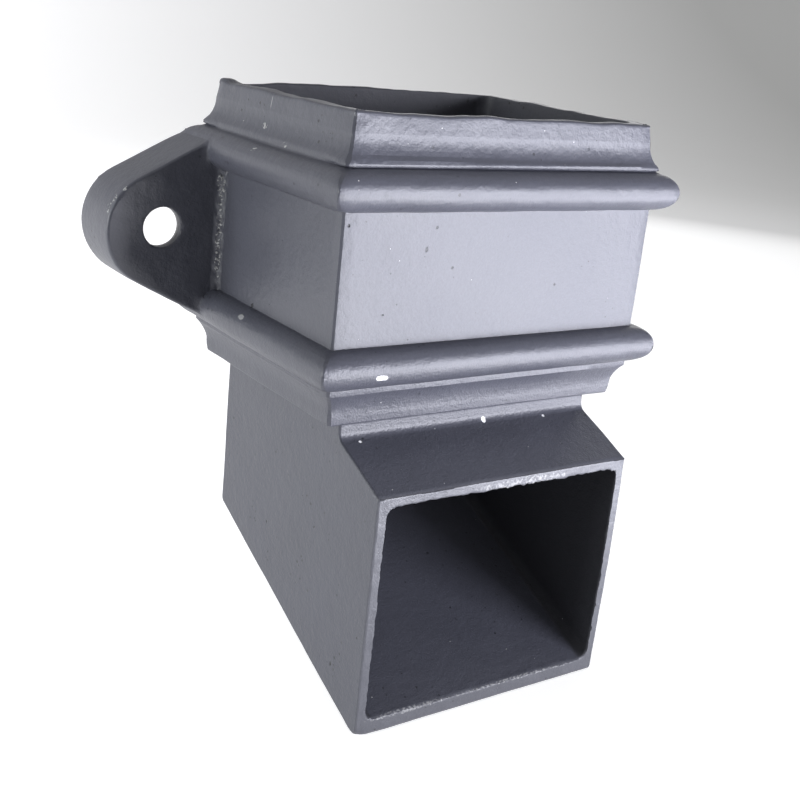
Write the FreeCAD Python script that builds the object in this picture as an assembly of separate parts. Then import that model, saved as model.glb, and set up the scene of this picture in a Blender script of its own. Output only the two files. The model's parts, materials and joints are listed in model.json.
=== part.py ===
"""Cast-iron downpipe shoe for a rectangular rainwater pipe, eared, in one piece.

A moulded socket takes the pipe's end. Below it the body narrows to the pipe's own size and turns
forward into a sloping toe with an upright, open mouth. Two hollow-backed ears screw it to the wall.

Millimetres, +Z up, mouth towards -Y, wall behind at +Y. The origin is midway between the two fixing
holes, on the ears' front face.
"""
import FreeCAD, Part
import math
import os

Vector = FreeCAD.Vector

# Pipe that the shoe is made for, and the casting's wall below the socket
pipe_width = 102.0
pipe_depth = 76.0
pipe_wall = 4.0
pipe_edge_round = 1.2
bore_corner_round = 3.5

# Socket: how far its panels stand out from the pipe, and the gap round a fitted pipe
socket_step_side = 10.5
socket_step_front = 8.0
socket_floor = 6.0
socket_corner_round = 5.0
joint_gap = 1.75
panel_height = 39.9

# Mouldings, from the rim down to the underside, measured out from the panels
rim_height = 6.6
rim_taper = 0.8
top_cove_height = 8.0
top_cove_depth = 2.9
top_band_height = 1.1
top_band_out = 0.7
bead_radius = 6.45
low_band_height = 2.0
low_cove_height = 8.4
low_cove_depth = 3.2
fascia_height = 2.7
fascia_taper = 0.3
edge_round = 0.9
mitre_flat = 1.3

# Neck and toe
neck_height = 5.8
neck_bend_round = 2.6
neck_fillet = 2.0
heel_drop = 57.0
heel_round = 3.0
toe_projection = 24.7
toe_slope_deg = 23.2
toe_roof = 3.4
toe_floor = 6.0
lip_round = 1.6

# Ears, against the socket's sides, their backs level with the crowns of the rear beads
fixing_centres = 164.0
fixing_hole = 12.4
fixing_rise = 1.0
ear_end_radius = 19.3
ear_flank_deg = 27.35
ear_depth = 23.5
ear_plate = 5.0
ear_rim = 5.5
ear_pocket_gap = 5.2
ear_pocket_round = 3.0
ear_edge_round = 1.4
ear_root_round = 3.0
ear_run_out = 1.6

# Places worked out from those sizes
panel_half_width = pipe_width / 2 + socket_step_side
panel_half_depth = pipe_depth / 2 + socket_step_front
axis_y = ear_depth - bead_radius - panel_half_depth
pipe_front = axis_y - pipe_depth / 2
pipe_back = axis_y + pipe_depth / 2
mouth_y = pipe_front - toe_projection

ear_middle = -fixing_rise
panel_bottom = ear_middle - panel_height / 2
panel_top = ear_middle + panel_height / 2
rim_top = panel_top + 2 * bead_radius + top_band_height + top_cove_height + rim_height
underside = panel_bottom - 2 * bead_radius - low_band_height - low_cove_height - fascia_height
shoulder = underside + socket_floor
neck_bottom = underside - neck_height
heel_bottom = underside - heel_drop
toe_slope = math.radians(toe_slope_deg)
mouth_top = neck_bottom - toe_projection * math.tan(toe_slope)
mouth_bottom = heel_bottom - (pipe_back - mouth_y) * math.tan(toe_slope)

# Modelling values: how far cutters run past, how far fused pieces overlap, and when two places are one
RUN_PAST = 20.0
SINK = 1.0
SAME = 0.01

X_AXIS = Vector(1, 0, 0)
Y_AXIS = Vector(0, 1, 0)
Z_AXIS = Vector(0, 0, 1)


def line(a, b):
    return Part.LineSegment(a, b).toShape()


def arc(a, middle, b):
    return Part.Arc(a, middle, b).toShape()


def same(a, b):
    return abs(a - b) < SAME


def runs_along(edge, axis):
    return abs(edge.tangentAt(edge.FirstParameter).dot(axis)) > 1 - SAME


def edges_where(shape, test):
    return [edge for edge in shape.Edges if test(edge)]


# Socket


def cove_middle(foot, tip):
    """Middle of the hollow arc between two (out, up) points; the arc is upright where it meets the tip."""
    across = foot[0] - tip[0]
    rise = foot[1] - tip[1]
    radius = (across ** 2 + rise ** 2) / (2 * across)
    half_turn = math.asin(abs(rise) / radius) / 2
    out = tip[0] + radius * (1 - math.cos(half_turn))
    up = tip[1] + math.copysign(radius * math.sin(half_turn), rise)
    return out, up


def arris_middle(out, up, towards_metal):
    """Middle of the arc that rounds a square edge at (out, up); the metal lies inwards and up or down."""
    slack = edge_round * (1 - math.sqrt(0.5))
    return out - slack, up + towards_metal * slack


def moulding_steps():
    """The moulding from the underside up to the rim: (middle of an arc or None, end), each as (out, up)."""
    fascia_face = -low_cove_depth - fascia_taper
    fascia_top = (-low_cove_depth, underside + fascia_height)
    low_cove_top = (0, fascia_top[1] + low_cove_height)
    yield None, (fascia_face - edge_round, underside)
    yield arris_middle(fascia_face, underside, 1), (fascia_face, underside + edge_round)
    yield None, fascia_top
    yield cove_middle(low_cove_top, fascia_top), low_cove_top
    low_bead = panel_bottom - 2 * bead_radius
    yield None, (0, low_bead)
    yield (bead_radius, low_bead + bead_radius), (0, panel_bottom)
    yield None, (0, panel_top)
    top_bead_end = panel_top + 2 * bead_radius
    yield (bead_radius, panel_top + bead_radius), (0, top_bead_end)
    band_top = (top_band_out, top_bead_end + top_band_height)
    yield None, (top_band_out, top_bead_end)
    yield None, band_top
    rim_bottom = (top_band_out - top_cove_depth, band_top[1] + top_cove_height)
    rim_face = rim_bottom[0] - rim_taper
    yield cove_middle(band_top, rim_bottom), rim_bottom
    yield None, (rim_face, rim_top - edge_round)
    yield arris_middle(rim_face, rim_top, -1), (rim_face - edge_round, rim_top)


def moulding_section(half_span):
    """Closed upright section through the socket, with its mouldings half_span to each side of the middle."""
    steps = list(moulding_steps())

    def at(point, side):
        return Vector(side * (half_span + point[0]), 0, point[1])

    edges = []
    for side in (1, -1):
        for (_, start), (middle, end) in zip(steps, steps[1:]):
            if middle:
                edges.append(arc(at(start, side), at(middle, side), at(end, side)))
            else:
                edges.append(line(at(start, side), at(end, side)))
    for _, end in (steps[0], steps[-1]):
        edges.append(line(at(end, 1), at(end, -1)))
    return Part.Face(Part.Wire(Part.__sortEdges__(edges)))


def moulding_run(half_span, turn_deg, stretch=1.0):
    """The section run right across the socket, turned about its axis; stretch widens it across the run."""
    section = moulding_section(half_span / stretch)
    if stretch != 1.0:
        widen = FreeCAD.Matrix()
        widen.scale(Vector(stretch, 1, 1))
        section = section.transformGeometry(widen)
    reach = 2 * (panel_half_width + panel_half_depth)
    run = section.translated(Vector(0, -reach, 0)).extrude(Vector(0, 2 * reach, 0))
    run.rotate(Vector(), Z_AXIS, turn_deg)
    run.translate(Vector(0, axis_y, 0))
    return run


def socket_body():
    """Mouldings on all four sides: crossing runs meet in mitres, and runs at 45 degrees take off the arris."""
    diagonal = math.sqrt(2)
    corner_span = (panel_half_width + panel_half_depth) / diagonal - mitre_flat / 2
    body = moulding_run(panel_half_width, 0).common(moulding_run(panel_half_depth, 90))
    for turn in (45, -45):
        body = body.common(moulding_run(corner_span, turn, diagonal))
    return body


def socket_bore():
    """Room for the pipe's end above the shoulder, open at the rim."""
    half_width = pipe_width / 2 + joint_gap
    half_depth = pipe_depth / 2 + joint_gap
    corner = Vector(-half_width, axis_y - half_depth, shoulder)
    bore = Part.makeBox(2 * half_width, 2 * half_depth, rim_top + RUN_PAST - shoulder, corner)
    return bore.makeFillet(socket_corner_round, edges_where(bore, lambda e: runs_along(e, Z_AXIS)))


def over_pipe(edge, margin):
    """True for an edge that lies within the pipe's plan, grown by a margin."""
    middle = edge.CenterOfMass
    inside_width = abs(middle.x) < pipe_width / 2 + margin + SAME
    return inside_width and abs(middle.y - axis_y) < pipe_depth / 2 + margin + SAME


# Pipe-sized body, neck and toe


def across_width(corners, width):
    """Solid of a closed (y, z) outline run across the shoe, centred on its middle plane."""
    points = [Vector(-width / 2, y, z) for y, z in corners]
    return Part.Face(Part.makePolygon(points + points[:1])).extrude(Vector(width, 0, 0))


def is_bend(edge, y, z):
    """True for the edge across the shoe at (y, z)."""
    return runs_along(edge, X_AXIS) and same(edge.CenterOfMass.y, y) and same(edge.CenterOfMass.z, z)


def toe_body():
    """Outside of the body under the socket, bent forward into the toe, with its long edges softened."""
    body = across_width([(pipe_front, shoulder), (pipe_front, neck_bottom), (mouth_y, mouth_top),
                         (mouth_y, mouth_bottom), (pipe_back, heel_bottom), (pipe_back, shoulder)], pipe_width)
    bends = [(neck_bend_round, pipe_front, neck_bottom), (heel_round, pipe_back, heel_bottom),
             (lip_round, mouth_y, mouth_bottom)]
    for radius, y, z in bends:
        body = body.makeFillet(radius, edges_where(body, lambda e: is_bend(e, y, z)))

    def is_long_edge(edge):
        middle = edge.CenterOfMass
        on_side_face = same(abs(middle.x), pipe_width / 2)
        return on_side_face and not same(middle.y, mouth_y) and not same(middle.z, shoulder)

    return body.makeFillet(pipe_edge_round, edges_where(body, is_long_edge))


def toe_bore():
    """Waterway below the shoulder, run past the mouth, with rounded corners."""
    front = pipe_front + pipe_wall
    back = pipe_back - pipe_wall
    past_mouth = mouth_y - RUN_PAST
    over_shoulder = shoulder + RUN_PAST

    def roof(y):
        return neck_bottom - toe_roof / math.cos(toe_slope) - (pipe_front - y) * math.tan(toe_slope)

    def floor(y):
        return heel_bottom + toe_floor / math.cos(toe_slope) - (pipe_back - y) * math.tan(toe_slope)

    bore = across_width([(front, over_shoulder), (front, roof(front)), (past_mouth, roof(past_mouth)),
                         (past_mouth, floor(past_mouth)), (back, floor(back)), (back, over_shoulder)],
                        pipe_width - 2 * pipe_wall)

    def is_corner(edge):
        middle = edge.CenterOfMass
        at_an_end = same(middle.y, past_mouth) or same(middle.z, over_shoulder)
        lengthwise = not runs_along(edge, X_AXIS) and not at_an_end
        return lengthwise or is_bend(edge, front, roof(front)) or is_bend(edge, back, floor(back))

    return bore.makeFillet(bore_corner_round, edges_where(bore, is_corner))


# Ears


def ear_outline(y, end_radius, root_x):
    """Rounded end and two spreading flanks of the right-hand ear, closed on the line x = root_x."""
    lean = math.radians(ear_flank_deg)
    end_x = fixing_centres / 2
    touch_x = end_x + end_radius * math.sin(lean)
    touch_z = end_radius * math.cos(lean)
    root_z = touch_z + (touch_x - root_x) * math.tan(lean)

    def at(x, z):
        return Vector(x, y, ear_middle + z)

    high, low = at(touch_x, touch_z), at(touch_x, -touch_z)
    root_high, root_low = at(root_x, root_z), at(root_x, -root_z)
    rounded_end = arc(high, at(end_x + end_radius, 0), low)
    return Part.Wire([line(root_high, high), rounded_end, line(low, root_low), line(root_low, root_high)])


def ear_block():
    """Outside of the right-hand ear; its flanks run out on the beads."""
    root_x = panel_half_width - SINK
    block = Part.Face(ear_outline(0, ear_end_radius, root_x)).extrude(Vector(0, ear_depth, 0))
    reach_z = panel_height / 2 + 2 * bead_radius - ear_run_out
    reach_x = fixing_centres / 2 + ear_end_radius + RUN_PAST - root_x
    band = Part.makeBox(reach_x, ear_depth, 2 * reach_z, Vector(root_x, 0, ear_middle - reach_z))
    block = block.common(band)

    def is_front_edge(edge):
        middle = edge.CenterOfMass
        return same(middle.y, 0) and middle.x > panel_half_width

    return block.makeFillet(ear_edge_round, edges_where(block, is_front_edge))


def ear_pocket():
    """Hollow behind the ear's front plate, with a rim of even width left round it."""
    root_x = panel_half_width + ear_pocket_gap
    pocket = Part.Face(ear_outline(ear_plate, ear_end_radius - ear_rim, root_x)).extrude(Vector(0, ear_depth, 0))

    def is_root_corner(edge):
        return runs_along(edge, Y_AXIS) and same(edge.CenterOfMass.x, root_x)

    return pocket.makeFillet(ear_pocket_round, edges_where(pocket, is_root_corner))


def ear_root_fillet():
    """Hollow fillet where the ear's front face meets the panel, ending inside the two beads."""
    side, r = panel_half_width, ear_root_round
    foot = panel_bottom - bead_radius
    on_panel, on_ear = Vector(side, -r, foot), Vector(side + r, 0, foot)
    inside = [Vector(side + r, SINK, foot), Vector(side - SINK, SINK, foot), Vector(side - SINK, -r, foot)]
    corners = [on_ear] + inside + [on_panel]
    slack = r * (1 - math.sqrt(0.5))
    edges = [line(a, b) for a, b in zip(corners, corners[1:])]
    edges.append(arc(on_panel, Vector(side + slack, -slack, foot), on_ear))
    return Part.Face(Part.Wire(edges)).extrude(Vector(0, 0, panel_height + 2 * bead_radius))


def ear():
    """Right-hand ear with its pocket, its fixing hole and the fillet at its root."""
    hole_start = Vector(fixing_centres / 2, -RUN_PAST, 0)
    hole = Part.makeCylinder(fixing_hole / 2, RUN_PAST + ear_depth, hole_start, Y_AXIS)
    return ear_block().fuse(ear_root_fillet()).cut(ear_pocket()).cut(hole)


def shoe():
    """The whole casting: the outside first, then the socket and waterway, then the rim's inner edge."""
    casting = socket_body().fuse(toe_body()).removeSplitter()
    neck_edges = edges_where(casting, lambda e: same(e.CenterOfMass.z, underside) and over_pipe(e, 0))
    casting = casting.makeFillet(neck_fillet, neck_edges)
    right_ear = ear()
    left_ear = right_ear.mirror(Vector(), X_AXIS)
    casting = casting.fuse([right_ear, left_ear]).removeSplitter()
    casting = casting.cut(socket_bore()).cut(toe_bore())
    rim_edges = edges_where(casting, lambda e: same(e.CenterOfMass.z, rim_top) and over_pipe(e, joint_gap))
    return casting.makeFillet(edge_round, rim_edges)


if __name__ == "__main__":
    os.makedirs("parts", exist_ok=True)
    casting = shoe()
    print("solids", len(casting.Solids), "valid", casting.isValid(), "cm3", round(casting.Volume / 1000, 1))
    casting.exportStep("parts/shoe_casting.step")
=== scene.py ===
"""Downpipe shoe dressed as a painted sand casting, on a pale floor in soft light.

Metres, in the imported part's own frame: +Z up, mouth towards -Y, wall behind at +Y.
"""

import json
import math

import bmesh
import bpy
from mathutils import Matrix, Vector, noise


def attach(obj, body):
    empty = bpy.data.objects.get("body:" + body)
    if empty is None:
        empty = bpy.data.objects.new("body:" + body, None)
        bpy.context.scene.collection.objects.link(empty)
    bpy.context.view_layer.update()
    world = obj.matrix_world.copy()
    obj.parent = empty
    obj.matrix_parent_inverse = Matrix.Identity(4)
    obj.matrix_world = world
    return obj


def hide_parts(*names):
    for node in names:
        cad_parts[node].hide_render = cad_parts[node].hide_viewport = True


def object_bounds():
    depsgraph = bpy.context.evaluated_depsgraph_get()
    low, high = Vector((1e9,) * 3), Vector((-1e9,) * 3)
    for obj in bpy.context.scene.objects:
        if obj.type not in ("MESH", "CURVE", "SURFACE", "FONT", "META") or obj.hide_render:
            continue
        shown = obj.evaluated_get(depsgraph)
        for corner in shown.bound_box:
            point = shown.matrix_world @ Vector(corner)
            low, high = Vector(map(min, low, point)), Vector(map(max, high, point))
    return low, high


bl_info = {
    "name": "Downpipe shoe",
    "version": (1, 0, 0),
    "blender": (4, 5, 0),
    "location": "View3D > Sidebar > Shoe",
    "description": "Dresses a cast-iron downpipe shoe with its casting marks and paint, and sets its stage",
    "category": "Object",
}

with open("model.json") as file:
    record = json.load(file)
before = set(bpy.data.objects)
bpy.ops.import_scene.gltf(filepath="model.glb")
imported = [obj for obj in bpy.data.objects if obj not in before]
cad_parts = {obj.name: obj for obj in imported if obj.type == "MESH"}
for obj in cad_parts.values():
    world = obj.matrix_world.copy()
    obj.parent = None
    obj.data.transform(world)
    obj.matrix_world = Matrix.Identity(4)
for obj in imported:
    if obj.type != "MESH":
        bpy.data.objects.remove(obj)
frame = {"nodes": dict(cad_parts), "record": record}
CAD_LOW, CAD_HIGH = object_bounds()

MM = 0.001
TINY = 0.01 * MM
AXES = (Vector((1, 0, 0)), Vector((0, 1, 0)), Vector((0, 0, 1)))
NODE = "shoe_casting"

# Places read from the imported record
MOUNTS = {mount["name"]: mount for mount in frame["record"]["mounts"]}
OUTLET = Vector(MOUNTS["outlet"]["pos_m"])
SOCKET = Vector(MOUNTS["pipe_socket"]["pos_m"])
FIXING = MOUNTS["ear_fixings"]["dims"]["spacing_x_mm"] * MM / 2

# Outlines as the casting has them: the mouth's inside, the socket's panels, band and floor, and the neck
MOUTH_HALF_WIDTH = 47 * MM
MOUTH_ROOF = -67 * MM
MOUTH_FLOOR = -140.6 * MM
PANEL_HALF_WIDTH = 61.5 * MM
PANEL_HALF_HEIGHT = 20 * MM
PANEL_FRONT = -74.95 * MM
PANEL_BACK = 17.05 * MM
BAND_TOP = 33.2 * MM
NECK_TOP = -50 * MM
SOCKET_FLOOR = -41 * MM


class ShoeCasting(bpy.types.PropertyGroup):
    """Sizes of the marks that moulding sand and thick paint leave on the casting."""

    mesh_size: bpy.props.FloatProperty(
        name="Mesh size", description="Spacing of the mesh grid", default=3.0 * MM, unit="LENGTH")
    mesh_size_marks: bpy.props.FloatProperty(
        name="Mesh size at marks", description="Spacing of the grid at the mouth's lip and the ears' roots",
        default=0.9 * MM, unit="LENGTH")
    edge_round: bpy.props.FloatProperty(
        name="Edge round", description="How far the square outer edges are rounded in", default=0.35 * MM,
        unit="LENGTH")
    rim_round: bpy.props.FloatProperty(
        name="Rim round", description="Radius of the rim's outer top edge", default=1.5 * MM, unit="LENGTH")
    band_fill: bpy.props.FloatProperty(
        name="Band fill", description="How far the cove over the upper bead's band is filled",
        default=0.45 * MM, unit="LENGTH")
    soft_passes: bpy.props.IntProperty(
        name="Soft passes",
        description="Passes of smoothing along the ears' front edges and the filled crevice", default=4,
        min=0, max=20)
    wave_height: bpy.props.FloatProperty(
        name="Wave height", description="Depth of the slow unevenness of the walls", default=0.40 * MM,
        unit="LENGTH")
    wave_length: bpy.props.FloatProperty(
        name="Wave length", description="Spacing of the slow unevenness", default=24 * MM, unit="LENGTH")
    ripple_height: bpy.props.FloatProperty(
        name="Ripple height", description="Depth of the small unevenness", default=0.14 * MM, unit="LENGTH")
    ripple_length: bpy.props.FloatProperty(
        name="Ripple length", description="Spacing of the small unevenness", default=7 * MM, unit="LENGTH")
    rim_dip: bpy.props.FloatProperty(
        name="Rim dip", description="How far the rim's top wanders down", default=1.0 * MM, unit="LENGTH")
    lip_drip: bpy.props.FloatProperty(
        name="Lip drips", description="How far the ragged inner edge of the mouth stands in",
        default=1.3 * MM, unit="LENGTH")
    root_knobs: bpy.props.FloatProperty(
        name="Root knobs", description="Height of the knobbly fillet at the ears' roots", default=0.9 * MM,
        unit="LENGTH")
    arris_roll: bpy.props.FloatProperty(
        name="Arris roll", description="How far the socket's upright arrises roll off", default=0.40 * MM,
        unit="LENGTH")


class ShoePaint(bpy.types.PropertyGroup):
    """Colours and grain of the paint."""

    colour: bpy.props.FloatVectorProperty(
        name="Paint", description="Colour of the paint", default=(0.056, 0.058, 0.074), size=3, min=0,
        max=1, subtype="COLOR")
    # Pale colour of dust and scratches, and of the painted highlights on the ears, their roots and the lip
    dust_and_highlight_colour: bpy.props.FloatVectorProperty(
        name="Dust", description="Colour of dust specks", default=(0.55, 0.55, 0.54), size=3, min=0, max=1,
        subtype="COLOR")
    chip_colour: bpy.props.FloatVectorProperty(
        name="Chips", description="Colour of the primer in the paint chips", default=(0.85, 0.85, 0.85),
        size=3, min=0, max=1, subtype="COLOR")
    roughness: bpy.props.FloatProperty(
        name="Roughness", description="Satin sheen of the paint", default=0.42, min=0, max=1,
        subtype="FACTOR")
    peel_height: bpy.props.FloatProperty(
        name="Peel height", description="Depth of the paint's orange peel", default=0.13 * MM,
        unit="LENGTH")
    peel_length: bpy.props.FloatProperty(
        name="Peel length", description="Spacing of the orange peel", default=1.9 * MM, unit="LENGTH")
    dimple_height: bpy.props.FloatProperty(
        name="Dimple height", description="Depth of the paint's broad dimples", default=0.17 * MM,
        unit="LENGTH")
    sand_height: bpy.props.FloatProperty(
        name="Sand height", description="Depth of the moulding sand's print", default=0.05 * MM,
        unit="LENGTH")
    sand_length: bpy.props.FloatProperty(
        name="Sand length", description="Spacing of the sand's print", default=0.6 * MM, unit="LENGTH")


class ShoeStage(bpy.types.PropertyGroup):
    """Floor, lights and camera."""

    floor_colour: bpy.props.FloatVectorProperty(
        name="Floor", description="Colour of the floor", default=(0.82, 0.82, 0.83), size=3, min=0, max=1,
        subtype="COLOR")
    floor_glow: bpy.props.FloatProperty(
        name="Floor glow", description="Light that the floor gives off by itself", default=0.85, min=0)
    shade_colour: bpy.props.FloatVectorProperty(
        name="Shade", description="Colour of the sweep's shaded side", default=(0.22, 0.22, 0.215), size=3,
        min=0, max=1, subtype="COLOR")
    # Painted shade on the sweep in front of the shoe and high up its wall
    front_shade_colour: bpy.props.FloatVectorProperty(
        name="Front", description="Colour of the sweep behind the camera", default=(0.07, 0.07, 0.07),
        size=3, min=0, max=1, subtype="COLOR")
    room_colour: bpy.props.FloatVectorProperty(
        name="Room", description="Light from the room all round", default=(0.62, 0.62, 0.64), size=3, min=0,
        max=1, subtype="COLOR")
    key_watts: bpy.props.FloatProperty(
        name="Key light", description="Power of the soft light at the front right", default=29, min=0,
        subtype="POWER")
    card_watts: bpy.props.FloatProperty(
        name="Card", description="Power of the light thrown up from the floor at the front right",
        default=12.5, min=0, subtype="POWER")
    glint_watts: bpy.props.FloatProperty(
        name="Glint", description="Power of the bright strip on the floor straight ahead", default=2, min=0,
        subtype="POWER")
    left_watts: bpy.props.FloatProperty(
        name="Left light", description="Power of the soft light at the left", default=7.5, min=0,
        subtype="POWER")
    fill_watts: bpy.props.FloatProperty(
        name="Fill light", description="Power of the soft light behind", default=3, min=0, subtype="POWER")
    camera_place: bpy.props.FloatVectorProperty(
        name="Camera", description="Where the camera stands", default=(-0.24280, -0.36028, 0.07603), size=3,
        subtype="TRANSLATION", unit="LENGTH")
    camera_heading: bpy.props.FloatProperty(
        name="Heading", description="Turn of the view from +Y towards +X", default=math.radians(36.0663),
        subtype="ANGLE")
    camera_dip: bpy.props.FloatProperty(
        name="Dip", description="How far the view looks down", default=math.radians(18.0480),
        subtype="ANGLE")
    camera_roll: bpy.props.FloatProperty(
        name="Roll", description="Turn of the camera about its view", default=math.radians(6.0946),
        subtype="ANGLE")
    camera_lens: bpy.props.FloatProperty(
        name="Lens", description="Focal length on a 36 mm sensor", default=54.269, min=1,
        subtype="DISTANCE_CAMERA")


# Shader maths


class Wire:
    """An output of a shader node. Arithmetic on it adds Math nodes, and node() adds any other node."""

    def __init__(self, tree, socket=None):
        self.tree = tree
        self.socket = socket

    def node(self, kind, settings=None, inputs=None, output=0):
        """Adds a node, its settings first and then the values or links of its sockets."""
        made = self.tree.nodes.new(kind)
        for name, value in (settings or {}).items():
            setattr(made, name, value)
        for name, value in (inputs or {}).items():
            if isinstance(value, Wire):
                self.tree.links.new(value.socket, made.inputs[name])
            else:
                made.inputs[name].default_value = value
        return Wire(self.tree, made.outputs[output])

    def other(self, output):
        """Another output of the same node."""
        return Wire(self.tree, self.socket.node.outputs[output])

    def maths(self, operation, first, second):
        return self.node("ShaderNodeMath", {"operation": operation}, {0: first, 1: second})

    def vector(self, operation, first, second, output=0):
        return self.node("ShaderNodeVectorMath", {"operation": operation}, {0: first, 1: second}, output)

    def __add__(self, other):
        return self.maths("ADD", self, other)

    def __radd__(self, other):
        return self.maths("ADD", other, self)

    def __sub__(self, other):
        return self.maths("SUBTRACT", self, other)

    def __rsub__(self, other):
        return self.maths("SUBTRACT", other, self)

    def __mul__(self, other):
        return self.maths("MULTIPLY", self, other)

    def __rmul__(self, other):
        return self.maths("MULTIPLY", other, self)

    def __lt__(self, other):
        return self.maths("LESS_THAN", self, other)

    def __gt__(self, other):
        return self.maths("GREATER_THAN", self, other)


def grain(place, length, detail=2.0):
    """Noise from 0 to 1 whose lumps are about length apart."""
    return place.node("ShaderNodeTexNoise", {}, {"Vector": place, "Scale": 1 / length, "Detail": detail})


def step_up(value, low, high):
    """0 below low, 1 above high, and a smooth rise between."""
    return value.node("ShaderNodeMapRange", {"interpolation_type": "SMOOTHSTEP"},
                      {"Value": value, "From Min": low, "From Max": high, "To Min": 0.0, "To Max": 1.0})


def tint(mask, under, over):
    """The colour under, and over where the mask is 1."""
    return mask.node("ShaderNodeMix", {"data_type": "RGBA"}, {0: mask, 6: under, 7: over}, 2)


def specks(place, spacing, radius, share):
    """Small round specks: a share of the cells, spacing apart, holds one of about that radius."""
    near = place.node("ShaderNodeTexVoronoi", {}, {"Vector": place, "Scale": 1 / spacing})
    dice = near.node("ShaderNodeSeparateColor", {}, {"Color": near.other("Color")})
    least = 0.5 * radius / spacing
    grown = dice.other("Green") * (radius / spacing) + least
    return (near < grown) * (dice > 1 - share)


# Ragged patches: how far they are whole, where they end, and how ragged they are
SPOT_FIRM = 0.8
SPOT_END = 1.05
SPOT_RAGGED = 1.2
NOISE_MIDDLE = 0.5


def spot(place, ragged, middle, reach, firm=SPOT_FIRM):
    """A ragged patch about a place, with its reach along each axis, both in millimetres.

    It is whole as far as the firm share of its reach, and fades out from there.
    """
    away = place.vector("SUBTRACT", place, [v * MM for v in middle])
    scaled = away.vector("DIVIDE", away, [v * MM for v in reach])
    length = scaled.node("ShaderNodeVectorMath", {"operation": "LENGTH"}, {0: scaled}, "Value")
    return 1 - step_up(length + (ragged - NOISE_MIDDLE) * SPOT_RAGGED, firm, SPOT_END)


def spots(place, ragged, marks):
    """All the patches of one kind as one mask."""
    masks = [spot(place, ragged, middle, reach) for middle, reach in marks]
    return sum(masks[1:], masks[0])


def rgba(colour):
    return (*colour, 1.0)


def around_one(noise_wire, swing):
    """Noise from 0 to 1 made a factor about 1, with that swing in all."""
    return noise_wire * swing + (1 - swing / 2)


# Marks in the paint: middle and reach in millimetres
CHIPS = (
    ((-46.5, -81, -29), (2.5, 3.0, 1.0)),
    ((6, -67.5, -52.5), (1.0, 1.5, 1.2)),
    ((-44, -69, -53.5), (0.7, 0.7, 0.7)),
    ((31.5, -68.5, -53.5), (0.6, 0.6, 0.6)),
    ((-14.5, -68, -53), (0.5, 0.5, 0.5)),
)
SCRATCHES = (
    ((-59, -24, 43.5), (2.0, 0.22, 2.0)),
    ((-66.5, -27, -23.5), (2.4, 1.6, 0.7)),
)
HOLES = (
    ((-61.5, -25, -20.5), (0.8, 0.8, 0.8)),
    ((-51, -26, -98), (0.6, 0.6, 0.6)),
    ((-51, -74, -128), (0.7, 0.7, 0.7)),
    ((-59, -75, 15.5), (0.6, 0.6, 0.6)),
    ((-28, -75, 14.5), (0.6, 0.6, 0.5)),
    ((-31, -75, 8), (0.5, 0.6, 0.8)),
    ((-20.5, -75, 2), (0.6, 0.6, 0.5)),
    ((-44.5, -75, -11.5), (0.7, 0.6, 0.4)),
    ((22, -75, -5), (0.5, 0.6, 0.5)),
)

# Pale flecks: partly dust, partly painted sheen on the ears' knobbly roots; a painted highlight along the left
# ear's upper edge; pale flecks on the mouldings over the left panel
FLECKS_AND_HIGHLIGHTS = (
    ((-62.5, -1, 14), (1.6, 1.6, 4)),
    ((62.5, -1, 14), (1.6, 1.6, 4)),
    ((-62.5, -1, -4), (1.0, 1.2, 16)),
    ((62.5, -1, -4), (1.0, 1.2, 16)),
    ((-99.6, 2.5, 6.5), (1.0, 1.4, 2.8)),
    ((-98, 2, 9.8), (1.2, 1.2, 2.2)),
    ((-95.4, 1, 12.7), (1.2, 0.7, 0.8)),
    ((-60, -23, 36.5), (1.5, 1.6, 1.0)),
    ((-66, -27.5, 30), (1.5, 1.8, 1.0)),
    ((-62, -39.5, 33), (1.5, 1.6, 1.0)),
)

# Fainter painted glints on the mouth's rough lip
GLINTS = (
    ((6, -91.5, -65.6), (20, 1.2, 1.5)),
    ((-30, -91.5, -140.6), (17, 1.2, 1.2)),
    ((15, -91.5, -140.8), (30, 1.2, 0.7)),
)

# Ragged bend between the neck and the toe's slope
NECK_BEND = (0, -67.8, -53)
NECK_BEND_REACH = (60, 3, 3)

# Spacing of the paint's grain
CLOUD_LENGTH = 26 * MM
CLOUD_DETAIL = 3.0
CLUSTER_LENGTH = 12 * MM
DIMPLE_LENGTH = 5 * MM
RAGGED_LENGTH = 1.6 * MM
CRUMB_LENGTH = 0.9 * MM

# Specks: spacing, radius, and the share of the places that hold one
PIMPLES = (5 * MM, 0.40 * MM, 0.5)
PITS = (2.8 * MM, 0.36 * MM, 0.45)
DUST = (4 * MM, 0.13 * MM, 0.25)

# Noise at which clusters of pits, flecks and glints start, and at which they are whole
CLUSTER_STEP = (0.45, 0.62)
FLECK_STEP = (0.5, 0.62)
GLINT_STEP = (0.42, 0.66)

# Sand's print, coarser from under the panels down, and the depth at which the lip's face ends
COARSE_HEIGHTS = (-22 * MM, -28 * MM)
COARSE_ABOVE = 1.3
COARSE_ADDED = 1.1
LIP_FACE_ENDS = (OUTLET.y + 0.4 * MM, OUTLET.y + 1.5 * MM)

# Inner walls: how far they turn inwards to take the painted shade, their limit, and how much less shade in the
# socket
INWARD_STEP = (0.02, 0.4)
INSIDE_HALF_WIDTH = PANEL_HALF_WIDTH - 5 * MM
SOCKET_LESS = 0.45

# How much the marks change the paint's shade
CLOUD_SHADE = 0.24
SAND_SHADE = 0.3
PIT_SHADE = 0.65
HOLE_SHADE = 0.7
# Painted shade on the inner walls of the waterway and the socket
INSIDE_SHADE = 0.62

# How much of the pale colour the marks take: dust and scratches, and painted highlights in the flecks, the
# glints and the lip's face
DUST_PALE = 0.8
SCRATCH_PALE = 0.35
FLECK_AND_HIGHLIGHT_PALE = 0.6
GLINT_PALE = 0.35
LIP_PAINTED_LIGHT = 0.05

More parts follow.
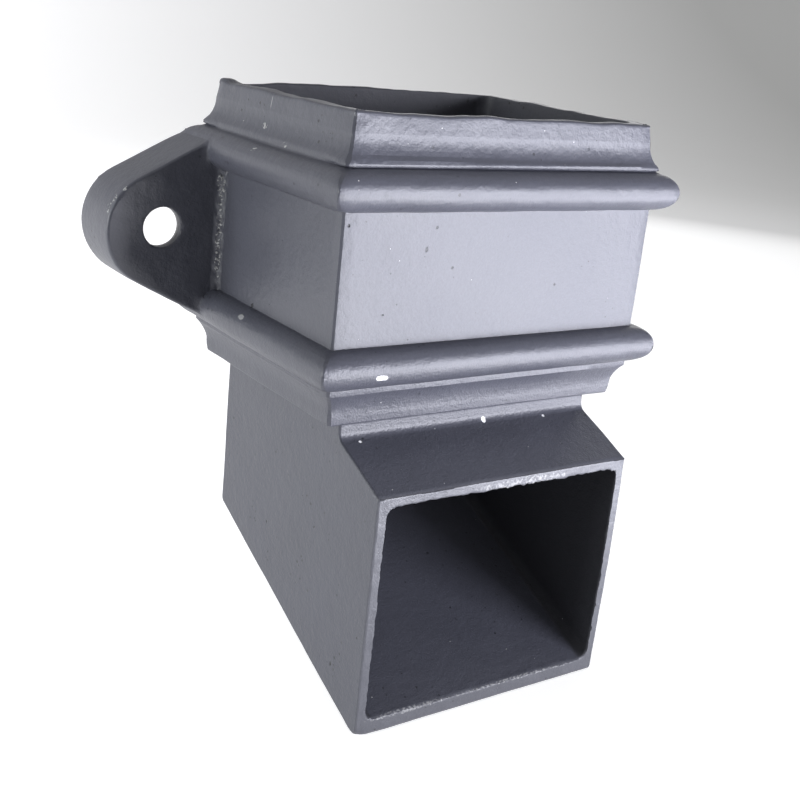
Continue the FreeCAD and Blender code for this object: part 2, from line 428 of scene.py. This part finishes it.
# How much the marks change the roughness
CLOUD_SHEEN = 0.10
DUST_SHEEN = 0.3
INSIDE_SHEEN = 0.3

# Heights and depths of the marks
PIMPLE_HEIGHT = 0.12 * MM
FLECK_HEIGHT = 0.2 * MM
BEND_HEIGHT = 0.2 * MM
PIT_DEPTH = 0.2 * MM
HOLE_DEPTH = 0.4 * MM
CHIP_DEPTH = 0.1 * MM


def painted_inside_shade(place, along):
    """Mask of the painted shade and matt paint inside: 1 on the waterway's upright walls that look towards its
    middle, and less on the socket's.
    """
    facing = place.node("ShaderNodeSeparateXYZ", {}, {"Vector": place.other("Normal")})
    side = along.maths("SIGN", along, 0.0)
    end = along.maths("SIGN", along.other("Y") - SOCKET.y, 0.0)
    in_socket = along.other("Z") > SOCKET_FLOOR
    off_ears = along * side < INSIDE_HALF_WIDTH
    sides = step_up(-1 * facing * side, *INWARD_STEP)
    ends = step_up(-1 * facing.other("Y") * end, *INWARD_STEP) * in_socket
    return sides.maths("MAXIMUM", sides, ends) * off_ears * (1 - in_socket * SOCKET_LESS)


def painted_iron():
    """Satin dark grey paint over sand-cast iron, with grain, dust specks, a few chips, painted shade on the
    inner walls and painted highlights on the ears and the lip.
    """
    paint = bpy.context.scene.shoe_paint
    material = bpy.data.materials.new("painted_iron_satin")
    material.use_nodes = True
    tree = material.node_tree
    shader = tree.nodes["Principled BSDF"]
    place = Wire(tree).node("ShaderNodeTexCoord", output="Object")
    along = place.node("ShaderNodeSeparateXYZ", {}, {"Vector": place})

    peel = grain(place, paint.peel_length)
    sand = grain(place, paint.sand_length)
    cloud = grain(place, CLOUD_LENGTH, CLOUD_DETAIL)
    dimple = grain(place, DIMPLE_LENGTH)
    ragged = grain(place, RAGGED_LENGTH)
    crumbs = grain(place, CRUMB_LENGTH)
    pimples = specks(place, *PIMPLES)
    pits = specks(place, *PITS) * step_up(grain(place, CLUSTER_LENGTH), *CLUSTER_STEP)
    dust = specks(place, *DUST)
    # Pale flecks and painted highlights
    flecks_and_highlights = spots(place, ragged, FLECKS_AND_HIGHLIGHTS) * step_up(crumbs, *FLECK_STEP)
    glints = spots(place, ragged, GLINTS) * step_up(crumbs, *GLINT_STEP)
    chip = spots(place, ragged, CHIPS)
    scratch = spots(place, ragged, SCRATCHES)
    hole = spots(place, ragged, HOLES)
    bend = spot(place, ragged, NECK_BEND, NECK_BEND_REACH, 0.0)
    coarse = step_up(along.other("Z"), *COARSE_HEIGHTS) * COARSE_ADDED + COARSE_ABOVE
    behind_lip = step_up(along.other("Y"), *LIP_FACE_ENDS)
    # Painted shade inside the waterway and the socket, where the paint is also made matt
    inside = painted_inside_shade(place, along) * behind_lip

    shade = around_one(cloud, CLOUD_SHADE) * around_one(sand, SAND_SHADE)
    shade = shade * (1 - pits * PIT_SHADE) * (1 - hole * HOLE_SHADE) * (1 - inside * INSIDE_SHADE)
    colour = place.node("ShaderNodeVectorMath", {"operation": "SCALE"},
                        {0: tuple(paint.colour), "Scale": shade})
    # Painted light: the lip's whole face a little paler
    lip = (1 - behind_lip) * LIP_PAINTED_LIGHT
    for pale in (dust * DUST_PALE, scratch * SCRATCH_PALE, flecks_and_highlights * FLECK_AND_HIGHLIGHT_PALE, glints * GLINT_PALE + lip):
        colour = tint(pale, colour, rgba(paint.dust_and_highlight_colour))
    colour = tint(chip, colour, rgba(paint.chip_colour))
    tree.links.new(colour.socket, shader.inputs["Base Color"])

    sheen = cloud * CLOUD_SHEEN + (paint.roughness - CLOUD_SHEEN / 2)
    sheen = sheen + dust * DUST_SHEEN + inside * INSIDE_SHEEN
    tree.links.new(sheen.socket, shader.inputs["Roughness"])

    height = peel * paint.peel_height + sand * coarse * paint.sand_height + dimple * paint.dimple_height
    height = height + pimples * PIMPLE_HEIGHT + flecks_and_highlights * FLECK_HEIGHT + bend * ragged * BEND_HEIGHT
    height = height - pits * PIT_DEPTH - hole * HOLE_DEPTH - chip * CHIP_DEPTH
    bump = height.node("ShaderNodeBump", {}, {"Strength": 1.0, "Distance": 1.0, "Height": height})
    tree.links.new(bump.socket, shader.inputs["Normal"])
    return material


# Casting


# Limits for joining and cutting the mesh
JOIN_REACH = 0.2 * TINY
MERGE_REACH = 10 * TINY
THIN_REACH = 2 * TINY
FLAT_ANGLE = math.radians(0.5)
SLIVER_AREA = 0.01 * MM * MM
MOST_SIDES = 4

# Reach of the zones that are cut finely for the marks
LIP_REACH = 5 * MM
RIM_REACH = 7 * MM
ROOT_REACH = 4 * MM
ROOT_BACK = 1 * MM
ROOT_HALF_HEIGHT = PANEL_HALF_HEIGHT + 8 * MM
EAR_EDGE_REACH = 3 * MM

# Planes that part those zones from the rest: axis and place
ZONE_EDGES = (
    (0, -PANEL_HALF_WIDTH - ROOT_REACH), (0, PANEL_HALF_WIDTH + ROOT_REACH),
    (1, OUTLET.y + LIP_REACH), (1, -ROOT_REACH), (1, ROOT_BACK), (1, EAR_EDGE_REACH),
    (2, SOCKET.z - RIM_REACH), (2, -ROOT_HALF_HEIGHT), (2, ROOT_HALF_HEIGHT),
)

# Extra cuts under the rim's top and beside the mitres, for their round edges
RIM_CUTS = (0.2 * MM, 0.5 * MM, 0.9 * MM, 1.5 * MM)
MITRE_CUTS = (-3.2 * MM, -1.6 * MM, -0.8 * MM, 0.8 * MM, 1.6 * MM, 3.2 * MM)
MITRE_REACH = 11 * MM

# Heights of the narrow wedges beside the beads, which merging would close in places
WEDGE_LOW = 31 * MM
WEDGE_HIGH = 33 * MM


def merged_copy(node):
    """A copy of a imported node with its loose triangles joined, and those of each flat face made one face."""
    shape = bmesh.new()
    shape.from_mesh(frame["nodes"][node].data)
    bmesh.ops.remove_doubles(shape, verts=shape.verts, dist=JOIN_REACH)
    bmesh.ops.dissolve_limit(shape, angle_limit=FLAT_ANGLE, verts=shape.verts, edges=shape.edges)
    return shape


def cut(shape, faces, place, normal):
    """Cuts faces where they cross a plane, and gives back what they became."""
    verts = list({vert for face in faces for vert in face.verts})
    edges = list({edge for face in faces for edge in face.edges})
    made = bmesh.ops.bisect_plane(shape, geom=verts + edges + faces, dist=TINY,
                                  plane_co=place, plane_no=normal)
    return [item for item in made["geom"] if isinstance(item, bmesh.types.BMFace)]


def slice_along(shape, axis, spacing, wanted=lambda face: True):
    """Cuts each wanted face that is longer than spacing along an axis, on a regular row of planes."""

    def reach(face):
        along = [vert.co[axis] for vert in face.verts]
        return min(along), max(along)

    def is_long(face):
        low, high = reach(face)
        return high - low > spacing + TINY

    waiting = [face for face in shape.faces if is_long(face) and wanted(face)]
    plane = CAD_LOW[axis] + spacing
    while plane < CAD_HIGH[axis] and waiting:
        crossed, ahead = [], []
        for face in waiting:
            low, high = reach(face)
            if low >= plane - TINY:
                ahead.append(face)
            elif high > plane + TINY:
                crossed.append(face)
        if crossed:
            ahead += cut(shape, crossed, AXES[axis] * plane, AXES[axis])
        waiting = ahead
        plane += spacing


def is_at_mouth(face):
    return face.calc_center_median().y < OUTLET.y + LIP_REACH


def is_at_rim(face):
    return face.calc_center_median().z > SOCKET.z - RIM_REACH


def is_at_root(face):
    middle = face.calc_center_median()
    across = abs(middle.x) - PANEL_HALF_WIDTH
    is_beside = -TINY < across < ROOT_REACH and -ROOT_REACH < middle.y < ROOT_BACK
    return is_beside and abs(middle.z) < ROOT_HALF_HEIGHT


def is_at_ear_edge(face):
    middle = face.calc_center_median()
    return abs(middle.x) > PANEL_HALF_WIDTH + ROOT_REACH and -TINY < middle.y < EAR_EDGE_REACH


def is_in_wedge(place):
    return WEDGE_LOW < abs(place.z) < WEDGE_HIGH


def slice_up(shape):
    """Cuts the faces into a grid that is fine enough to take the casting's marks."""
    size = bpy.context.scene.shoe_casting
    for axis, place in ZONE_EDGES:
        cut(shape, shape.faces[:], AXES[axis] * place, AXES[axis])
    for axis in range(3):
        slice_along(shape, axis, size.mesh_size_marks, is_at_mouth)
        slice_along(shape, axis, size.mesh_size_marks, is_at_root)
        slice_along(shape, axis, size.mesh_size / 2, is_at_rim)
        slice_along(shape, axis, size.mesh_size / 2, is_at_ear_edge)
    for axis in range(3):
        slice_along(shape, axis, size.mesh_size)
    cut_beside_mitres(shape)
    for drop in RIM_CUTS:
        at_rim = [face for face in shape.faces if is_at_rim(face)]
        cut(shape, at_rim, AXES[2] * (SOCKET.z - drop), AXES[2])
    out_of_wedges = [vert for vert in shape.verts if not is_in_wedge(vert.co)]
    bmesh.ops.remove_doubles(shape, verts=out_of_wedges, dist=MERGE_REACH)
    bmesh.ops.dissolve_degenerate(shape, dist=THIN_REACH, edges=shape.edges)
    many_sided = [face for face in shape.faces if len(face.verts) > MOST_SIDES]
    bmesh.ops.triangulate(shape, faces=many_sided, quad_method="BEAUTY", ngon_method="BEAUTY")


def cut_beside_mitres(shape):
    """Extra cuts beside the four mitres, so that their arrises shade as round."""
    for side in (-1, 1):
        for end, depth in ((-1, PANEL_FRONT), (1, PANEL_BACK)):
            corner = Vector((side * PANEL_HALF_WIDTH, depth, 0))
            across = Vector((side, -end, 0)).normalized()
            near = [face for face in shape.faces
                    if (face.calc_center_median() - corner).to_2d().length < MITRE_REACH]
            for offset in MITRE_CUTS:
                near = cut(shape, near, corner + across * offset, across)


# Folds that shade as sharp, corners that are rounded, and the strength of a smoothing pass
INNER_CREASE = math.radians(25)
SQUARE_CORNER = math.radians(60)
SMOOTH_FACTOR = 0.5

# Crevice over the left bead that paint has filled: its limits, and how its passes draw in from the ends
CREVICE_ENDS = 7 * MM
CREVICE_SIDE = -60 * MM
CREVICE_LOW = 30 * MM
CREVICE_HIGH = 34.5 * MM
CREVICE_SHRINKS = (0, 4 * MM, 8 * MM)

# Smoothed front edge of the ears: how far it keeps from their roots and from the fixings' middles
EAR_ROOT_CLEAR = 5 * MM
EAR_HOLE_CLEAR = 12 * MM


def soften(shape):
    """Rounds the square outer corners a little, as sand and paint do, and shades the blunt ones as round."""
    size = bpy.context.scene.shoe_casting
    shape.normal_update()
    out = {}
    for edge in shape.edges:
        turn = edge.calc_face_angle_signed(0.0)
        edge.smooth = turn > -INNER_CREASE
        if turn > SQUARE_CORNER and not is_in_wedge(edge.verts[0].co):
            beside = sum((face.normal for face in edge.link_faces), Vector()) * edge.calc_length()
            for vert in edge.verts:
                out[vert] = out.get(vert, Vector()) + beside
    for vert, direction in out.items():
        vert.co -= direction.normalized() * size.edge_round
    round_rim(shape, size.rim_round)
    smooth_out(shape, [vert for vert in shape.verts if is_on_ear_edge(vert.co)], size.soft_passes)
    for shrink in CREVICE_SHRINKS:
        smooth_out(shape, [vert for vert in shape.verts if is_in_crevice(vert.co, shrink)], size.soft_passes)


def round_rim(shape, radius):
    """Rounds the rim's outer top edge."""
    top = [vert for vert in shape.verts if vert.co.z > SOCKET.z - radius]
    low = [min(vert.co[axis] for vert in top) for axis in range(2)]
    high = [max(vert.co[axis] for vert in top) for axis in range(2)]
    for vert in top:
        rise = min(1.0, (vert.co.z - SOCKET.z) / radius + 1)
        inset = radius * (1 - math.sqrt(1 - rise * rise))
        for axis in range(2):
            vert.co[axis] = min(max(vert.co[axis], low[axis] + inset), high[axis] - inset)


def smooth_out(shape, verts, passes):
    for _ in range(passes):
        bmesh.ops.smooth_vert(shape, verts=verts, factor=SMOOTH_FACTOR,
                              use_axis_x=True, use_axis_y=True, use_axis_z=True)


def is_in_crevice(place, shrink):
    """True in the crevice over the left bead, but not near its ends."""
    ends = CREVICE_ENDS + shrink
    is_between = PANEL_FRONT + ends < place.y < PANEL_BACK - ends
    return is_between and place.x < CREVICE_SIDE and CREVICE_LOW < place.z < CREVICE_HIGH


def is_on_ear_edge(place):
    """True beside the ears' front edge, and not round the fixing holes."""
    from_hole = Vector((abs(place.x) - FIXING, place.z)).length
    is_out = abs(place.x) > PANEL_HALF_WIDTH + EAR_ROOT_CLEAR
    return is_out and from_hole > EAR_HOLE_CLEAR and -TINY < place.y < EAR_EDGE_REACH


# Unevenness of the marks: its level, then rows of lumps with their share, spacing and pattern
RIM_WANDER = (0.45, (0.5, 15 * MM, 5.3), (0.25, 6 * MM, 1.7))
LIP_DRIPS = (0.25, (0.5, 5 * MM, 7.7), (0.4, 2.2 * MM, 9.1), (0.45, 1.3 * MM, 3.7))
LIP_FACE = (0.5, (0.3, 6 * MM, 2.3), (0.3, 2 * MM, 4.9))
ROOT_KNOBS = (0.2, (0.6, 2.4 * MM, 6.1), (0.6, 1.3 * MM, 8.3))
EAR_LUMPS = (0.4, (1.0, 5 * MM, 4.4))
RIPPLE_PATTERN = 3.1

# Where each mark has faded to nothing and where it is whole, as distances from its middle or along an axis
RIM_FADE = (SOCKET.z - 6 * MM, SOCKET.z)
HORN_FADE = (1.2 * MM, 6 * MM)
HOLLOW_FADE = (26 * MM, 7 * MM)
ROOF_FADE = (-20 * MM, 15 * MM)
DRIP_FADE = (1.6 * MM, 0.2 * MM)
DRIP_DEPTH_FADE = (2.6 * MM, 0.6 * MM)
LIP_FACE_FADE = (1.0 * MM, 0.2 * MM)
BLUNT_FADE = (6 * MM, 1 * MM)
ROOT_LENGTH_FADE = (ROOT_HALF_HEIGHT, PANEL_HALF_HEIGHT)
ROOT_WIDTH_FADE = (2.2 * MM, 0.6 * MM)
ROOT_DEPTH_FADE = (2.6 * MM, 0.8 * MM)
EAR_FADE = (PANEL_HALF_WIDTH + 3 * MM, PANEL_HALF_WIDTH + 6 * MM)
EAR_DEPTH_FADE = (EAR_EDGE_REACH, 0.5 * MM)
ARRIS_FADE = (4.5 * MM, 0)
TOE_SIDE_FADE = (38 * MM, 46 * MM)
TOE_TOP_FADE = (NECK_TOP, -58 * MM)
TOE_BELLY_FADE = (40 * MM, 0)
TOE_WALL_FADE = (51 * MM, MOUTH_HALF_WIDTH)
BAND_FADE = (BAND_TOP + 1.4 * MM, BAND_TOP + 0.9 * MM)

# Horn at the rim's back left corner, and how much further the rim dips round it
RIM_HORN = Vector((-55.8 * MM, 12.6 * MM, SOCKET.z))
HOLLOW_DIP = 0.8

# Share of the lip's drips by the way they point, down, across or up, and the least share at the roof's left
DRIP_SHARES = {-1: 1.0, 0: 0.45, 1: 0.4}
ROOF_LEAST = 0.35

# Depth of the lip's uneven face, and its corner that is knocked blunt
LIP_FACE_DEPTH = 0.45 * MM
LIP_CORNER = Vector((-51 * MM, OUTLET.y, CAD_LOW.z))
BLUNT_WAY = Vector((0.5, 0.6, 0.6))
BLUNT_DEPTH = 1.3 * MM

# Middle of the knobbly fillet, out from the socket's side and in front of the ear
ROOT_OUT = 0.6 * MM
ROOT_AHEAD = 1 * MM

# Height of the ears' lumps, depth in which the arrises roll off, and limits of the band under the rim
EAR_LUMP_HEIGHT = 0.20 * MM
ARRIS_DEPTH = 3 * MM
BAND_IN = -2 * MM
BAND_OUT = 1 * MM

# How far the toe's right wall stands out: all over, more half-way up, and more on its inner face
TOE_OUT = 0.55 * MM
TOE_BELLY = 0.6 * MM
TOE_THINNER = 0.3 * MM


def lumps(place, length, pattern=0.0):
    """Noise from -1 to 1 whose lumps are about length apart."""
    return noise.noise(place / length + Vector((pattern, 2 * pattern, -pattern)))


def uneven(place, level, *rows):
    """A level with rows of lumps about it."""
    return sum((share * lumps(place, length, pattern) for share, length, pattern in rows), level)


def ramp(value, low, high):
    """0 at low, 1 at high, straight between."""
    return min(1.0, max(0.0, (value - low) / (high - low)))


def past_panels(place):
    """How far a place lies out of the planes of the socket's side panels, and of its front or back panel."""
    return abs(place.x) - PANEL_HALF_WIDTH, max(PANEL_FRONT - place.y, place.y - PANEL_BACK)


def wall_marks(place, normal, size):
    """Slow and small unevenness, inwards only, so that the overall size is kept."""
    wave = 0.5 + 0.5 * lumps(place, size.wave_length)
    ripple = 0.5 + 0.5 * lumps(place, size.ripple_length, RIPPLE_PATTERN)
    return normal * -(wave * size.wave_height + ripple * size.ripple_height)


def rim_marks(place, normal, size):
    """The rim's top wanders down, and one corner is left standing as a small horn."""
    weight = ramp(place.z, *RIM_FADE)
    if weight == 0:
        return Vector()
    from_horn = (place - RIM_HORN).length
    beside_horn = ramp(from_horn, *HORN_FADE)
    dip = uneven(place, *RIM_WANDER) + HOLLOW_DIP * ramp(from_horn, *HOLLOW_FADE)
    dip = dip * beside_horn * beside_horn * (3 - 2 * beside_horn)
    return Vector((0, 0, -max(0.0, dip) * weight * size.rim_dip))


def lip_marks(place, normal, size):
    """Ragged inner edge and uneven face of the mouth's lip, and one corner knocked blunt."""
    depth = place.y - OUTLET.y
    if depth > LIP_REACH:
        return Vector()
    gaps = {
        (-math.copysign(1, place.x), 0, 0): MOUTH_HALF_WIDTH - abs(place.x),
        (0, 0, -1): MOUTH_ROOF - place.z,
        (0, 0, 1): place.z - MOUTH_FLOOR,
    }
    side = min(gaps, key=gaps.get)
    share = DRIP_SHARES[side[2]]
    if side[2] == -1:
        share *= ROOF_LEAST + (1 - ROOF_LEAST) * ramp(place.x, *ROOF_FADE)
    weight = ramp(abs(gaps[side]), *DRIP_FADE) * ramp(depth, *DRIP_DEPTH_FADE)
    move = Vector(side) * (max(0.0, uneven(place, *LIP_DRIPS)) * share * weight * size.lip_drip)
    face = ramp(depth, *LIP_FACE_FADE) * uneven(place, *LIP_FACE)
    move.y += max(0.0, face) * LIP_FACE_DEPTH
    blunt = ramp((place - LIP_CORNER).length, *BLUNT_FADE)
    return move + BLUNT_WAY * (blunt * blunt * BLUNT_DEPTH)


def root_marks(place, normal, size):
    """Knobbly fillet where an ear meets the socket's side."""
    across = abs(place.x) - PANEL_HALF_WIDTH - ROOT_OUT
    weight = ramp(abs(place.z), *ROOT_LENGTH_FADE)
    weight *= ramp(abs(across), *ROOT_WIDTH_FADE) * ramp(abs(place.y + ROOT_AHEAD), *ROOT_DEPTH_FADE)
    return normal * (uneven(place, *ROOT_KNOBS) * weight * size.root_knobs)


def ear_marks(place, normal, size):
    """Lumpy front edge of the ears."""
    weight = ramp(abs(place.x), *EAR_FADE) * ramp(abs(place.y), *EAR_DEPTH_FADE)
    return normal * (-max(0.0, uneven(place, *EAR_LUMPS)) * weight * EAR_LUMP_HEIGHT)


def arris_marks(place, normal, size):
    """The socket's upright arrises roll off a little."""
    beside, before = past_panels(place)
    if max(beside, before) < -ARRIS_DEPTH or place.z < NECK_TOP:
        return Vector()
    weight = ramp(abs(beside - before), *ARRIS_FADE)
    return normal * (-weight * weight * size.arris_roll)


def toe_marks(place, normal, size):
    """The toe's right wall stands out a little, more half-way up."""
    weight = ramp(place.x, *TOE_SIDE_FADE) * ramp(place.z, *TOE_TOP_FADE)
    if weight == 0:
        return Vector()
    belly = TOE_BELLY * ramp(abs(place.z - OUTLET.z), *TOE_BELLY_FADE)
    thinner = TOE_THINNER * ramp(place.x, *TOE_WALL_FADE)
    return Vector((weight * (TOE_OUT + belly + thinner), 0, 0))


def band_marks(place, normal, size):
    """The narrow band over the upper bead is fuller than drawn, so the cove starts a little higher."""
    beside, before = past_panels(place)
    is_high = BAND_TOP < place.z < BAND_FADE[0]
    if not is_high or not BAND_IN < max(beside, before) < BAND_OUT:
        return Vector()
    out = size.band_fill * ramp(place.z, *BAND_FADE)
    move = Vector()
    if beside > before - TINY:
        move.x = math.copysign(out, place.x)
    if before > beside - TINY:
        move.y = math.copysign(out, place.y - SOCKET.y)
    return move


MARKS = (wall_marks, rim_marks, lip_marks, root_marks, ear_marks, arris_marks, toe_marks, band_marks)


def outward(vert):
    """Direction out of the metal at a vertex, in which slivers don't count."""
    total = Vector()
    for loop in vert.link_loops:
        if loop.face.calc_area() > SLIVER_AREA:
            total += loop.face.normal * loop.calc_angle()
    return total.normalized()


def cast(shape):
    """Moves the mesh by all the casting's marks, and keeps it within the solid's box."""
    size = bpy.context.scene.shoe_casting
    shape.normal_update()
    moves = []
    for vert in shape.verts:
        normal = outward(vert)
        moves.append(sum((mark(vert.co, normal, size) for mark in MARKS), Vector()))
    for vert, move in zip(shape.verts, moves):
        place = vert.co + move
        vert.co = [min(max(v, low), high) for v, low, high in zip(place, CAD_LOW, CAD_HIGH)]


class SHOE_OT_casting(bpy.types.Operator):
    """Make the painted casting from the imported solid"""

    bl_idname = "shoe.casting"
    bl_label = "Casting"

    def execute(self, context):
        shape = merged_copy(NODE)
        slice_up(shape)
        soften(shape)
        cast(shape)
        mesh = bpy.data.meshes.new("painted_casting")
        for face in shape.faces:
            face.smooth = True
        shape.to_mesh(mesh)
        shape.free()
        mesh.materials.append(painted_iron())
        casting = bpy.data.objects.new("painted_casting", mesh)
        context.scene.collection.objects.link(casting)
        shading = casting.modifiers.new("even_shading", "WEIGHTED_NORMAL")
        shading.mode = "FACE_AREA"
        shading.keep_sharp = True
        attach(casting, "root")
        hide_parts(NODE)
        return {"FINISHED"}


# Stage


# Sweep in metres: its flat floor, its bend and the wall over that, and how far it lies under the shoe
SWEEP_FLAT = 1.5
SWEEP_BEND = 0.9
SWEEP_WALL = 1.4
SWEEP_DROP = 0.2 * MM
SWEEP_BEND_STEPS = 12
SWEEP_ROUND_STEPS = 72
SWEEP_ROUGHNESS = 0.8

# Sweep's painted shade: the slant on which it darkens to the right, and where it darkens in front and high up
SLANT_RIGHT = 0.88
SLANT_FRONT = 0.48
SLANT_FROM = -0.53
SLANT_TO = 1.47
FRONT_STEP = (0.15, 0.7)
UPPER_STEP = (0.25, 0.8)
UPPER_DARK = 0.55

# Lights: place, width and height in metres, and colour
COOL = (0.89, 0.90, 1.0)
FAINTLY_COOL = (0.97, 1.0, 1.0)
WHITE = (1, 1, 1)
KEY_PLACE = Vector((0.78, -1.20, 0.04))
KEY_SIZE = (0.7, 0.5)
CARD_PLACE = Vector((0.38, -0.50, CAD_LOW.z + 1 * MM))
CARD_SIZE = (0.6, 0.6)
STRIP_PLACE = Vector((0.10, -0.50, CAD_LOW.z + 2 * MM))
STRIP_SIZE = (0.07, 0.35)
LEFT_PLACE = Vector((-0.95, 0.06, 0.12))
LEFT_SIZE = (0.5, 0.5)
FILL_PLACE = Vector((0.85, 0.65, 0.25))
FILL_SIZE = (0.8, 0.6)

# Camera: sensor in millimetres, and the nearest thing it sees in metres
SENSOR_WIDTH = 36
NEAREST = 0.01


def soft_light(name, watts, place, target, size, colour):
    """A soft rectangular light that faces a target and isn't seen itself."""
    lamp = bpy.data.lights.new(name, "AREA")
    lamp.shape = "RECTANGLE"
    lamp.size = size[0]
    lamp.size_y = size[1]
    lamp.energy = watts
    lamp.color = colour
    light = bpy.data.objects.new(name, lamp)
    light.visible_camera = False
    light.location = place
    light.rotation_euler = (target - place).to_track_quat("-Z", "Y").to_euler()
    bpy.context.scene.collection.objects.link(light)


def sweep_mesh():
    """A wide floor that curves up all round."""
    shape = bmesh.new()
    middle = shape.verts.new((0, 0, 0))
    edge = shape.verts.new((SWEEP_FLAT, 0, 0))
    shape.edges.new((middle, edge))
    bent = bmesh.ops.spin(shape, geom=[edge], cent=(SWEEP_FLAT, 0, SWEEP_BEND), axis=(0, -1, 0),
                          angle=math.pi / 2, steps=SWEEP_BEND_STEPS)
    top = [item for item in bent["geom_last"] if isinstance(item, bmesh.types.BMVert)]
    raised = bmesh.ops.extrude_vert_indiv(shape, verts=top)
    bmesh.ops.translate(shape, verts=raised["verts"], vec=(0, 0, SWEEP_WALL))
    bmesh.ops.spin(shape, geom=shape.verts[:] + shape.edges[:], cent=(0, 0, 0), axis=(0, 0, 1),
                   angle=2 * math.pi, steps=SWEEP_ROUND_STEPS, use_merge=True)
    bmesh.ops.remove_doubles(shape, verts=shape.verts, dist=TINY)
    bmesh.ops.recalc_face_normals(shape, faces=shape.faces)
    bmesh.ops.translate(shape, verts=shape.verts, vec=(0, 0, CAD_LOW.z - SWEEP_DROP))
    for face in shape.faces:
        face.smooth = True
    mesh = bpy.data.meshes.new("pale_sweep")
    shape.to_mesh(mesh)
    shape.free()
    return mesh


def sweep_paper(stage):
    """Pale paper that gives off some light, with painted shade that darkens it to the camera's right, in front
    of the shoe and high up.
    """
    material = bpy.data.materials.new("pale_sweep")
    material.use_nodes = True
    tree = material.node_tree
    shader = tree.nodes["Principled BSDF"]
    place = Wire(tree).node("ShaderNodeTexCoord", output="Object")
    right = (math.cos(stage.camera_heading), -math.sin(stage.camera_heading), 0)
    nearer = (-math.sin(stage.camera_heading), -math.cos(stage.camera_heading), 0)
    across = place.vector("DOT_PRODUCT", place, right, "Value")
    front = place.vector("DOT_PRODUCT", place, nearer, "Value")
    up = place.node("ShaderNodeSeparateXYZ", {}, {"Vector": place}, "Z") - CAD_LOW.z
    # Painted shade: darker to the right, in front of the shoe and high up
    slant = across * SLANT_RIGHT - front * SLANT_FRONT
    painted_shade_right = slant.node("ShaderNodeMapRange", {},
                            {"Value": slant, "From Min": SLANT_FROM, "From Max": SLANT_TO})
    painted_shade_front = 1 - (1 - step_up(front, *FRONT_STEP)) * (1 - UPPER_DARK * step_up(up, *UPPER_STEP))
    for plain, socket in ((WHITE, "Emission Color"), (stage.floor_colour, "Base Color")):
        colour = tint(painted_shade_right, rgba(plain), rgba(stage.shade_colour))
        colour = tint(painted_shade_front, colour, rgba(stage.front_shade_colour))
        tree.links.new(colour.socket, shader.inputs[socket])
    shader.inputs["Emission Strength"].default_value = stage.floor_glow
    shader.inputs["Roughness"].default_value = SWEEP_ROUGHNESS
    return material


def pale_sweep(stage):
    mesh = sweep_mesh()
    mesh.materials.append(sweep_paper(stage))
    sweep = bpy.data.objects.new("pale_sweep", mesh)
    bpy.context.scene.collection.objects.link(sweep)


def photo_camera(stage):
    """The camera that was fitted to the photo."""
    data = bpy.data.cameras.new("photo_camera")
    data.sensor_width = SENSOR_WIDTH
    data.lens = stage.camera_lens
    data.clip_start = NEAREST
    camera = bpy.data.objects.new("photo_camera", data)
    turn = Matrix.Rotation(-stage.camera_heading, 4, "Z")
    turn = turn @ Matrix.Rotation(math.pi / 2 - stage.camera_dip, 4, "X")
    turn = turn @ Matrix.Rotation(stage.camera_roll, 4, "Z")
    camera.matrix_world = Matrix.Translation(stage.camera_place) @ turn
    bpy.context.scene.collection.objects.link(camera)
    bpy.context.scene.camera = camera


class SHOE_OT_stage(bpy.types.Operator):
    """Set the floor, the lights and the camera"""

    bl_idname = "shoe.stage"
    bl_label = "Stage"

    def execute(self, context):
        scene = context.scene
        stage = scene.shoe_stage
        scene.view_settings.view_transform = "Standard"
        world = bpy.data.worlds.new("room")
        world.use_nodes = True
        world.node_tree.nodes["Background"].inputs["Color"].default_value = rgba(stage.room_colour)
        scene.world = world
        pale_sweep(stage)
        middle = (CAD_LOW + CAD_HIGH) / 2
        soft_light("key", stage.key_watts, KEY_PLACE, middle, KEY_SIZE, COOL)
        soft_light("card", stage.card_watts, CARD_PLACE, CARD_PLACE + AXES[2], CARD_SIZE, COOL)
        soft_light("glint", stage.glint_watts, STRIP_PLACE, STRIP_PLACE + AXES[2], STRIP_SIZE, WHITE)
        soft_light("left", stage.left_watts, LEFT_PLACE, middle, LEFT_SIZE, FAINTLY_COOL)
        soft_light("fill", stage.fill_watts, FILL_PLACE, middle, FILL_SIZE, WHITE)
        photo_camera(stage)
        return {"FINISHED"}


class SHOE_PT_panel(bpy.types.Panel):
    """The shoe's steps, in order"""

    bl_idname = "SHOE_PT_panel"
    bl_label = "Downpipe shoe"
    bl_space_type = "VIEW_3D"
    bl_region_type = "UI"
    bl_category = "Shoe"

    def draw(self, context):
        for operator in (SHOE_OT_casting, SHOE_OT_stage):
            self.layout.operator(operator.bl_idname)


CLASSES = (ShoeCasting, ShoePaint, ShoeStage, SHOE_OT_casting, SHOE_OT_stage, SHOE_PT_panel)
SETTINGS = {"shoe_casting": ShoeCasting, "shoe_paint": ShoePaint, "shoe_stage": ShoeStage}


def register():
    for cls in CLASSES:
        bpy.utils.register_class(cls)
    for name, group in SETTINGS.items():
        setattr(bpy.types.Scene, name, bpy.props.PointerProperty(type=group))


def unregister():
    for name in SETTINGS:
        delattr(bpy.types.Scene, name)
    for cls in reversed(CLASSES):
        bpy.utils.unregister_class(cls)


def main():
    register()
    bpy.ops.shoe.casting()
    bpy.ops.shoe.stage()


if __name__ == "__main__":
    main()
